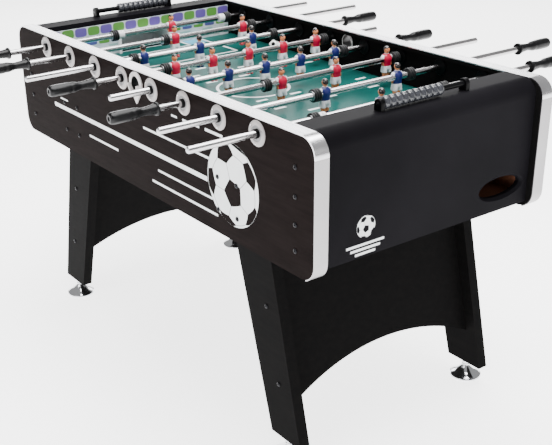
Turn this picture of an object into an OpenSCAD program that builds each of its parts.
// Foosball table with eight sliding, turning rods.
// X runs along the table, Y across it, Z up. "near" is the -Y side, "right" the +X end.
// The shapes are drawn about the cabinet's middle. The origin is on the floor, under the
// middle of the whole table with its rods, so everything is placed mid_y nearer.

/* [Cabinet] */
// Length over the end strips
cab_l = 1450; // [1440:1:1470]
// Width over the side panels
cab_w = 738; // [734:1:744]
// Height of the cabinet's lowest edge above the floor
cab_z0 = 549; // [545:1:552]
// Height of the cabinet's top above the floor
cab_z1 = 881; // [878:1:885]
// Outer radius of the side panels' corners
corner_r = 45; // [40:1:50]
// Thickness of a side board
side_t = 26; // [24:1:28]
// Width of the trims, and thickness of the side boards' doubled zones
rim_w = 37.5; // [36:0.5:39]
// Thickness of the trims
trim_t = 3; // [2:0.5:4]
// How far the end panels stand back from the cabinet's ends
end_inset = 20; // [16:1:24]
// Thickness of an end panel
end_t = 18; // [15:1:20]
// Radius of the end rails' rounded outer edge
rail_r = 40; // [34:1:42]
// Thickness of the end rails' inner lip
rail_lip = 15; // [12:1:16]

/* [Playfield] */
// Length of the playing surface
play_l = 1200; // [1196:1:1204]
// Height of the playing surface above the floor
play_z = 770; // [766:1:772]
// Thickness of the playfield board
play_t = 10; // [8:1:12]
// Width of a goal opening
goal_w = 170; // [150:1:190]
// Height of a goal opening
goal_h = 58; // [50:1:64]
// Diameter of the ball
ball_d = 35; // [33:0.5:36]

/* [Rods] */
// Spacing of the rods
rod_pitch = 150; // [149:0.5:151]
// Height of the rods above the floor
rod_z = 845; // [843:1:846]
// Outer diameter of a rod
rod_d = 16; // [15:0.5:16.5]
// Wall of a rod's tube
rod_wall = 2; // [1.5:0.5:3]
// Radial running clearance of the bushes, bumpers and other bores
fit = 0.05; // [0.03:0.01:0.08]
// Radial clearance of the bushes and ball entries in the side boards
seat = 0.4; // [0.3:0.05:0.5]
// Length of a handle
grip_l = 130; // [126:1:136]
// Length of a bumper
bump_l = 22; // [20:1:24]

/* [Legs] */
// Thickness of the leg boards and the cross panels
leg_t = 30; // [26:1:32]
// Height of the leg boards' lower ends above the floor
leg_z0 = 50; // [48:1:56]
// Height of the leg boards' upper ends above the floor
leg_z1 = 735; // [725:1:738]
// Height of the arch's top above the floor
arch_z = 222; // [200:1:240]
// Diameter of a levelling foot
foot_d = 88; // [80:1:92]

/* [Hidden] */
$fn = 48;
eps = 0.1;

// Cabinet
half_l = cab_l / 2;
half_w = cab_w / 2;
board_x = half_l - trim_t;
board_z0 = cab_z0 + trim_t;
board_z1 = cab_z1 - trim_t;
board_r = corner_r - trim_t;
inner_y = half_w - side_t;
rim_y = half_w - rim_w;
rim_band = 10;
doubler_x = 300;
doubler_z = play_z - 20;
strip_curl = 70;

// Ends
end_x = half_l - end_inset;
end_z0 = 569;
rail_x0 = play_l / 2 + 4;
goal_x = play_l / 2;
goal_board_t = 9;
goal_r = 12;
goal_post = 9;
goal_post_d = 11;
goal_wall = 2;
goal_back = 678;
oval_y = 235;
oval_z = 628;
oval_l = 144;
oval_h = 50;
oval_bevel = 7;

// Inside
batten_w = 30;
batten_h = 20;
floor_t = 12;
chute_t = 6;
chute_wall = 50;
chute_y0 = 105;
chute_y1 = 312;
chute_high = 655;
chute_low = 600;

// Rod furniture
plate_d = 60;
plate_t = 4;
nose_d = 22;
nose_l = 8;
sleeve_d = 26;
flange_d = 44;
flange_t = 5;
cup_d = 62;
cup_hole = 40;
cup_lip = 14;
cup_drop = 53;

// Rods: players, side of the handle (-1 near, 1 far), place of the middle player,
// player spacing, place of the bumpers' middle, half the distance between bumpers,
// and how far the bare tip and the handle's collar are from the table's middle
RODS = [
    [1, -1,  62,   0,  65, 208, 606, 488],
    [2, -1, 106, 250, 106, 160, 695, 496],
    [3,  1, -28, 187,  -4, 243, 570, 522],
    [5, -1,  38, 122,  38, 274, 519, 449],
    [5,  1, -14, 121, -14, 274, 485, 474],
    [3, -1, 107, 181,  98, 221, 638, 442],
    [2,  1,  66, 240,  73, 158, 528, 645],
    [1,  1,  -6,   0,  -5, 206, 547, 518]];
plug_dome = 4.5;
collar_l = 20;
collar_d = 26;
grip_bore = 100;
// How far the rods reach on one side, and the middle of their two reaches
function reach(side) = max([for (rod = RODS)
    rod[1] == side ? rod[7] + grip_l : rod[6] + plug_dome]);
mid_y = (reach(1) - reach(-1)) / 2;

// Scorers
scorer_x = 655;
scorer_z = 897;
scorer_half = 132;
bar_d = 14;
bracket_d = 24;
bracket_t = 12;
bead_d = 29;
bead_l = 17.6;
bead_gap = 0.4;
bead_count = 10;

// Legs: edges of a leg board at its lower end, and how they lean
leg_in = 517;
leg_out = 633;
lean_in = 0.29;
lean_out = 0.24;
cross_x = 547;
cross_at = 200;
cross_z0 = 150;
arch_half = 300;
foot_x = 571;
stem_d = 12;
bolt_d = 6;
bolt_head = 12;
bolt_head_t = 3;

// Ball
ball_x = -300;
ball_y = 300;
ball_gap = 0.1;

// ---- Shared shapes ----

// From the cabinet's middle to the part's own origin
module placed() { translate([0, -mid_y, 0]) children(); }

function rod_x(n) = (n - 4.5) * rod_pitch;
function players(n) = RODS[n - 1][0];
function handle_side(n) = RODS[n - 1][1];
function player_y(n, i) = RODS[n - 1][2] + (i - (players(n) - 1) / 2) * RODS[n - 1][3];
function stops_y(n) = RODS[n - 1][4];
function stops_half(n) = RODS[n - 1][5];
function tip_y(n) = -handle_side(n) * RODS[n - 1][6];
function collar_y(n) = handle_side(n) * RODS[n - 1][7];
function is_keeper(n) = players(n) == 1;

// The far half of something made for the near side
module far_side() { mirror([0, 1, 0]) children(); }
// Both long sides
module both_sides() { children(); far_side() children(); }
// The other end, turned half round the table's middle
module left_end() { rotate([0, 0, 180]) children(); }
module both_ends() { children(); left_end() children(); }
// An XZ outline made into a board from y0 to y1
module board(y0, y1) {
    translate([0, y1, 0]) rotate([90, 0, 0]) linear_extrude(y1 - y0) children();
}
// A cylinder along Y from y0 to y1
module rod_y(d, y0, y1) {
    translate([0, y1, 0]) rotate([90, 0, 0]) cylinder(d = d, h = y1 - y0);
}
// A turned shape along Y, from an outline of [radius, place along Y]
module turned_y(points) {
    rotate([-90, 0, 0]) rotate_extrude() polygon(points);
}

// ---- Cabinet ----

module board_outline() {
    translate([-board_x, board_z0 + board_r])
        square([2 * board_x, board_z1 - board_z0 - 2 * board_r]);
    translate([-board_x + board_r, board_z0])
        square([2 * (board_x - board_r), board_z1 - board_z0]);
    for (x = [-1, 1], z = [board_z0 + board_r, board_z1 - board_r])
        translate([x * (board_x - board_r), z]) circle(board_r);
}

module panel_bolt_places() {
    for (x = [-659, 659], z = [611, 673, 738, 805])
        translate([x, -half_w, z]) children();
    for (x = [-440, -362, 362, 440], z = [614, 697])
        translate([x, -half_w, z]) children();
}

module side_panel() {
    difference() {
        union() {
            board(-half_w, -inner_y) board_outline();
            board(-inner_y - eps, -rim_y) difference() {
                board_outline();
                translate([-play_l / 2, doubler_z])
                    square([play_l, board_z1 - rim_band - doubler_z]);
                translate([-doubler_x, 0]) square([2 * doubler_x, doubler_z + eps]);
            }
        }
        for (n = [1:8]) translate([rod_x(n), 0, rod_z])
            rod_y(sleeve_d + 2 * seat, -half_w - 1, -rim_y + 1);
        translate([0, 0, rod_z]) rod_y(cup_hole + 6 + 2 * seat, -half_w - 1, -rim_y + 1);
        panel_bolt_places() rod_y(bolt_d + 2 * fit, -1, 60);
    }
}

module side_panel_near() { color("#2b2423") placed() side_panel(); }
module side_panel_far() { color("#2b2423") placed() far_side() side_panel(); }

module top_trims() {
    groove = 1;
    color("#d5d6da") placed() both_sides()
        rotate([90, 0, 90]) translate([0, 0, -half_l + corner_r])
            linear_extrude(cab_l - 2 * corner_r) difference() {
                translate([-half_w, board_z1]) square([rim_w, trim_t]);
                for (y = [-half_w + 8, -rim_y - 8 - groove])
                    translate([y, cab_z1 - groove]) square([groove, groove + eps]);
            }
}

// A bent strip round a corner of the cabinet, between two angles from the X axis
module corner_bend(a0, a1) {
    far = 2 * corner_r;
    board(-half_w, -rim_y) intersection() {
        difference() {
            circle(corner_r);
            circle(board_r);
        }
        polygon([[0, 0], [far * cos(a0), far * sin(a0)],
                 [far * cos((a0 + a1) / 2) * 1.3, far * sin((a0 + a1) / 2) * 1.3],
                 [far * cos(a1), far * sin(a1)]]);
    }
}

module corner_caps() {
    color("#c2c4c9") placed() both_sides() for (s = [0, 1]) mirror([s, 0, 0])
        translate([half_l - corner_r, 0, cab_z1 - corner_r]) corner_bend(0, 90);
}

module end_strips() {
    color("#cfd0d4") placed() both_sides() for (s = [0, 1]) mirror([s, 0, 0]) {
        translate([board_x, -half_w, cab_z0 + corner_r])
            cube([trim_t, rim_w, cab_z1 - cab_z0 - 2 * corner_r]);
        translate([half_l - corner_r, 0, cab_z0 + corner_r]) corner_bend(-strip_curl, 0);
    }
}

// ---- Ends ----

// The ball return's oval outline, larger all round by grow
function oval(grow) = [for (a = [0:7.5:352.5])
    [(oval_l / 2 + grow) * cos(a), (oval_h / 2 + grow) * sin(a)]];

// The bevel round the oval, opening out towards +X
module oval_flare() {
    small = oval(0);
    large = oval(oval_bevel);
    n = len(small);
    polyhedron(
        concat([for (p = small) [0, p[0], p[1]]], [for (p = large) [oval_bevel, p[0], p[1]]]),
        concat([[for (i = [0:n - 1]) i]], [[for (i = [n - 1:-1:0]) n + i]],
            [for (i = [0:n - 1], upper = [0, 1]) let (j = (i + 1) % n)
                upper == 1 ? [n + i, n + j, j] : [n + i, j, i]]));
}

module end_panel() {
    width = 2 * (rim_y - 0.5);
    difference() {
        board(-width / 2, width / 2) {
            translate([rail_x0, cab_z1 - rail_lip])
                square([end_x - rail_r - rail_x0, rail_lip]);
            translate([end_x - rail_r, cab_z1 - rail_r]) intersection() {
                circle(rail_r);
                translate([-eps, -eps]) square(rail_r + eps);
            }
            translate([end_x - end_t, end_z0]) square([end_t, cab_z1 - rail_r - end_z0 + eps]);
        }
        translate([0, oval_y, oval_z]) {
            board_x(end_x - end_t - 1, end_x + 1) polygon(oval(0));
            translate([end_x - oval_bevel + eps, 0, 0]) oval_flare();
        }
    }
}

module end_panel_right() { color("#1d1c20") placed() end_panel(); }
module end_panel_left() { color("#1d1c20") placed() left_end() end_panel(); }

// The goal's outline, wider and higher by grow
module goal_outline(grow) {
    r = goal_r + grow;
    half = goal_w / 2 + grow;
    top = play_z + goal_h + grow;
    translate([-half, 0]) square([2 * half, top - r]);
    translate([-half + r, 0]) square([2 * (half - r), top]);
    for (s = [-1, 1]) translate([s * (half - r), top - r]) circle(r);
}

// The part of a YZ outline above the playing surface
module above_pitch() {
    intersection() {
        children();
        translate([-goal_w, play_z]) square([2 * goal_w, 2 * goal_h]);
    }
}

// A YZ outline made into a board from x0 to x1
module board_x(x0, x1) {
    translate([x0, 0, 0]) rotate([90, 0, 90]) linear_extrude(x1 - x0) children();
}

module goal_boards() {
    color("#e8ecee") placed() both_ends() board_x(goal_x, goal_x + goal_board_t) difference() {
        translate([-rim_y + 0.5, play_z - play_t])
            square([2 * rim_y - 1, cab_z1 - rail_lip - play_z + play_t]);
        above_pitch() goal_outline(goal_wall + 0.3);
    }
}

// A moulded goal: a frame on the pitch side and a box behind the board, open below
module goal_frames() {
    color("white") placed() both_ends() difference() {
        union() {
            board_x(goal_x - goal_post_d, goal_x) above_pitch() goal_outline(goal_post);
            board_x(goal_x - eps, goal_back) above_pitch() goal_outline(goal_wall);
        }
        board_x(goal_x - goal_post_d - 1, goal_back - goal_wall) goal_outline(0);
    }
}

// ---- Inside the cabinet ----

module playfield() {
    color("#3f9a90") placed() translate([-play_l / 2, -inner_y, play_z - play_t])
        cube([play_l, 2 * inner_y, play_t]);
}

module playfield_battens() {
    color("#b98a5a") placed() for (x = [-500, -170, 170, 500])
        translate([x - batten_w / 2, -rim_y, play_z - play_t - batten_h])
            cube([batten_w, 2 * rim_y, batten_h]);
}

module floor_panel() {
    notch_x0 = leg_in - lean_in * (end_z0 + floor_t - leg_z0) - 3;
    notch_x1 = leg_out - lean_out * (end_z0 - leg_z0) + 3;
    color("#3a2f2a") placed() translate([0, 0, end_z0]) linear_extrude(floor_t) difference() {
        square([2 * (end_x - end_t), 2 * rim_y], center = true);
        for (x = [-1, 1], y = [-1, 1]) scale([x, y])
            translate([notch_x0, rim_y - leg_t - 1])
                square([notch_x1 - notch_x0, leg_t + 2]);
    }
}

// A sloping floor with an inner wall, from behind the goal to the oval opening
module ball_chutes() {
    x0 = goal_x + goal_board_t + 3;
    x1 = end_x - end_t;
    level_y = oval_y - oval_l / 2;
    slope = [[-chute_y0, chute_high], [level_y, chute_low], [chute_y1, chute_low]];
    function rise(h) = [for (p = slope) [p[0], p[1] + h]];
    function lower(h) = [for (i = [2:-1:0]) [slope[i][0], slope[i][1] + h]];
    color("#b5763c") placed() both_ends() {
        board_x(x0, x1) polygon(concat(rise(0), lower(-chute_t)));
        board_x(x0, x0 + chute_t) polygon(concat(rise(chute_wall), lower(-eps)));
        for (y = [-chute_y0, chute_y1 - chute_t])
            translate([x0, y, y < 0 ? chute_high - chute_t : chute_low - chute_t])
                cube([x1 - x0, chute_t, chute_wall + chute_t]);
    }
}

// ---- Bearings and ball entries ----

// A ring that runs down to a point, a tube through the board and a short lip outside
module ball_entry_cup() {
    outer = cup_hole + 6;
    touch = asin(cup_d / 2 / cup_drop);
    side = [cup_d / 2 * cos(touch), -cup_d / 2 * sin(touch)];
    translate([0, 0, rod_z]) {
        difference() {
            union() {
                rod_y(cup_d, -half_w - plate_t, -half_w);
                board(-half_w - plate_t, -half_w)
                    polygon([[0, 0], side, [0, -cup_drop], [-side[0], side[1]]]);
                rod_y(outer, -half_w - plate_t, -inner_y + 2);
                rod_y(outer, -half_w - cup_lip, -half_w);
            }
            rod_y(cup_hole, -half_w - cup_lip - 1, -inner_y + 3);
            translate([-outer, -half_w - cup_lip - 1, 0])
                cube([2 * outer, cup_lip - plate_t + 1, outer]);
        }
    }
}

module ball_entry_cups() { color("#e9e8e4") placed() both_sides() ball_entry_cup(); }

module rod_plates() {
    inner = nose_d / 2 + 0.2;
    color("#e4e1da") placed() both_sides() for (n = [1:8])
        translate([rod_x(n), -half_w, rod_z]) turned_y([
            [inner, 0], [plate_d / 2, 0], [plate_d / 2, -1.5], [plate_d / 2 - 2.5, -plate_t],
            [inner + 3, -plate_t], [inner, -plate_t + 1.5]]);
}

module rod_bushes() {
    bore = rod_d / 2 + fit;
    color("#17171a") placed() both_sides() for (n = [1:8])
        translate([rod_x(n), -half_w, rod_z]) turned_y([
            [bore, -nose_l], [nose_d / 2 - 1, -nose_l], [nose_d / 2, -nose_l + 1],
            [nose_d / 2, 0], [sleeve_d / 2, 0], [sleeve_d / 2, side_t],
            [flange_d / 2, side_t], [flange_d / 2, side_t + flange_t - 1.5],
            [flange_d / 2 - 3, side_t + flange_t], [bore, side_t + flange_t]]);
}

// ---- Scorers ----

module scorer_bar() {
    translate([scorer_x, 0, scorer_z]) {
        rod_y(bar_d, -scorer_half, scorer_half);
        for (s = [-1, 1]) translate([0, s * scorer_half, 0]) {
            rod_y(bracket_d, -bracket_t / 2, bracket_t / 2);
            translate([-bracket_d / 2, -bracket_t / 2, cab_z1 - scorer_z])
                cube([bracket_d, bracket_t, scorer_z - cab_z1]);
        }
    }
}

module scorer_bars() { color("#151517") placed() both_ends() scorer_bar(); }

module scorer_beads() {
    bore = bar_d / 2 + 0.3;
    start = -scorer_half + bracket_t / 2 + 1;
    for (i = [0:bead_count - 1])
        translate([scorer_x, start + i * (bead_l + bead_gap), scorer_z]) turned_y([
            [bore, 0], [bead_d / 2 - 3, 0], [bead_d / 2, 4], [bead_d / 2, bead_l - 4],
            [bead_d / 2 - 3, bead_l], [bore, bead_l]]);
}

module scorer_beads_right() { color("#a9abb2") placed() scorer_beads(); }
module scorer_beads_left() { color("#a9abb2") placed() left_end() scorer_beads(); }

// ---- Legs ----

function leg_edge_in(z) = leg_in - lean_in * (z - leg_z0);
function leg_edge_out(z) = leg_out - lean_out * (z - leg_z0);
function cross_mid(z) = cross_x - lean_out * (z - cross_at);

module leg_bolt_places() {
    for (s = [-1, 1], z = [200, 397])
        translate([s * cross_mid(z), -rim_y, z]) children();
}

module leg_board() {
    difference() {
        board(-rim_y, -rim_y + leg_t) polygon([
            [leg_edge_in(leg_z0), leg_z0], [leg_edge_out(leg_z0), leg_z0],
            [leg_edge_out(leg_z1), leg_z1], [leg_edge_in(leg_z1), leg_z1]]);
        translate([foot_x, -rim_y + leg_t / 2, leg_z0 - 1])
            cylinder(d = stem_d + 2 * fit, h = 42);
        leg_bolt_places() rod_y(bolt_d + 2 * fit, -1, leg_t + 1);
        panel_bolt_places() rod_y(bolt_d + 2 * fit, -1, 60);
    }
}

module leg_boards_right() { color("#2b2423") placed() both_sides() leg_board(); }
module leg_boards_left() { color("#2b2423") placed() both_sides() mirror([1, 0, 0]) leg_board(); }

module leg_cross_panels() {
    half_y = rim_y - leg_t;
    arch_drop = arch_z - cross_z0;
    arch_r = (arch_half * arch_half + arch_drop * arch_drop) / (2 * arch_drop);
    color("#2b2423") placed() both_ends() difference() {
        board(-half_y, half_y) polygon([for (p = [[-1, cross_z0], [1, cross_z0], [1, end_z0],
            [-1, end_z0]]) [cross_mid(p[1]) + p[0] * leg_t / 2, p[1]]]);
        translate([0, 0, arch_z - arch_r]) rotate([0, 90, 0])
            cylinder(r = arch_r, h = cab_l, $fn = 96);
        both_sides() leg_bolt_places() rod_y(bolt_d + 2 * fit, 0, 62);
    }
}

module levelling_foot(sx, sy) {
    color("#c6c8cc") placed() translate([sx * foot_x, sy * (rim_y - leg_t / 2), 0]) {
        rotate_extrude() polygon([
            [0, 0], [foot_d / 2 - 1, 0], [foot_d / 2, 1], [foot_d / 2, 5],
            [foot_d / 2 - 3, 9], [foot_d / 4 + 4, 16], [foot_d / 4 - 6, 26],
            [stem_d / 2 + 5, 36], [stem_d / 2 + 4, 44], [stem_d / 2, 46],
            [stem_d / 2, leg_z0 + 38], [0, leg_z0 + 38]]);
    }
}

module levelling_foot_right_near() { levelling_foot(1, -1); }
module levelling_foot_right_far() { levelling_foot(1, 1); }
module levelling_foot_left_near() { levelling_foot(-1, -1); }
module levelling_foot_left_far() { levelling_foot(-1, 1); }

// A button-headed bolt going in along +Y
module bolt(length) {
    rod_y(bolt_d, -eps, length);
    turned_y([[0, 0], [bolt_head / 2, 0], [bolt_head / 2, -1],
              [bolt_head / 2 - 2.5, -bolt_head_t], [0, -bolt_head_t]]);
}

module bolts() {
    color("#4a4a4e") placed() both_sides() {
        panel_bolt_places() bolt(rim_w - 4);
        leg_bolt_places() bolt(58);
    }
}

module ball() {
    color("#f2f2ee") placed() translate([ball_x, ball_y, play_z + ball_d / 2 + ball_gap])
        sphere(d = ball_d);
}

// ---- Rods ----

// On a rod's axis, at a place along it
module at_rod(n, y) { translate([rod_x(n), y, rod_z]) children(); }

// The tube, with a plug in its bare end
module rod_tube(n) {
    side = handle_side(n);
    ends = [tip_y(n), collar_y(n) + side * (grip_bore - 2)];
    plug_in = 12;
    color("#c9cbd0") placed() at_rod(n, 0) {
        difference() {
            rod_y(rod_d, min(ends), max(ends));
            rod_y(rod_d - 2 * rod_wall, min(ends) - 1, max(ends) + 1);
        }
        translate([0, tip_y(n), 0]) scale([1, side, 1]) turned_y([
            [0, plug_in], [rod_d / 2 - rod_wall, plug_in], [rod_d / 2 - rod_wall, 0],
            [rod_d / 2, 0], [rod_d / 2 - 0.6, -2], [rod_d / 2 - 3, -4], [0, -plug_dome]]);
    }
}

// A player hung on the rod, facing +X: a body cut to a front and a side outline
module player() {
    half = [[-9, 17], [-17, 13], [-18.5, 4], [-16, -6], [-13.5, -16], [-14.5, -18],
            [-13.5, -34], [-10, -42], [-9.5, -57]];
    front = concat(half, [for (i = [len(half) - 1:-1:0]) [-half[i][0], half[i][1]]]);
    side = [[-9, 17], [-12, 8], [-12.5, -4], [-10, -16], [-10.5, -33], [-7, -42], [-8, -50],
            [-6, -57], [9, -57], [12, -53], [8, -43], [9.5, -33], [9.5, -16], [12.5, -4],
            [12, 8], [9, 17]];
    difference() {
        union() {
            intersection() {
                board_x(-20, 20) polygon(front);
                board(-20, 20) polygon(side);
            }
            rod_y(25, -15, 15);
            cylinder(d = 10, h = 24);
            translate([0, 0, 27]) sphere(d = 20);
        }
        rod_y(rod_d + 2 * fit, -20, 20);
    }
}

module rod_players(n) {
    color(handle_side(n) < 0 ? "#d8273f" : "#2c4fae") placed()
        for (i = [0:players(n) - 1]) at_rod(n, player_y(n, i))
            scale([-handle_side(n), 1, 1]) player();
}

module rod_handle(n) {
    bore = rod_d / 2 + fit;
    color("#141416") placed() at_rod(n, collar_y(n)) scale([1, handle_side(n), 1])
        turned_y([
            [bore, 0], [15.6, 0], [16.4, 1], [16.4, 5], [15.6, 6.2], [13.6, 7], [13.2, 9],
            [12.4, 16], [11.2, 26], [10.2, 36], [10, 42], [10.6, 48], [12.4, 56], [13.6, 62],
            [13.9, 66], [13.5, 69], [13.7, 72], [14.6, 78], [14.9, 90], [15, 105],
            [14.8, 118], [14, 124], [12.6, 127.6], [10.8, 129.4], [9, grip_l],
            [0, grip_l], [0, grip_bore], [bore, grip_bore]]);
}

// Two ribbed bumpers, and on a keeper's rod a stop collar beside each
module rod_bumpers(n) {
    bore = rod_d / 2 + fit;
    rib = bump_l / 3;
    color("#161618") placed() at_rod(n, stops_y(n)) both_sides()
        translate([0, -stops_half(n) - bump_l / 2, 0])
        turned_y(concat([[bore, 0]],
            [for (i = [0:2], p = [[12.5, 0.5], [15, 1], [16.5, 2], [16.5, rib - 2],
                [15, rib - 1], [12.5, rib - 0.5]]) [p[0], i * rib + p[1]]],
            [[bore, bump_l]]));
    if (is_keeper(n)) color("#f0f0ee") placed() at_rod(n, stops_y(n)) both_sides()
        translate([0, -stops_half(n) + bump_l / 2 + 0.3, 0]) turned_y([
            [bore, 0], [collar_d / 2 - 1, 0], [collar_d / 2, 1], [collar_d / 2, collar_l - 1],
            [collar_d / 2 - 1, collar_l], [bore, collar_l]]);
}

// ---- What is drawn ----

side_panel_near();
side_panel_far();
top_trims();
corner_caps();
end_strips();
end_panel_right();
end_panel_left();
goal_boards();
goal_frames();
playfield();
playfield_battens();
floor_panel();
ball_chutes();
ball_entry_cups();
rod_plates();
rod_bushes();
scorer_bars();
scorer_beads_right();
scorer_beads_left();
leg_boards_right();
leg_boards_left();
leg_cross_panels();
levelling_foot_right_near();
levelling_foot_right_far();
levelling_foot_left_near();
levelling_foot_left_far();
bolts();
ball();
for (n = [1:8]) {
    rod_tube(n);
    rod_players(n);
    rod_handle(n);
    rod_bumpers(n);
}
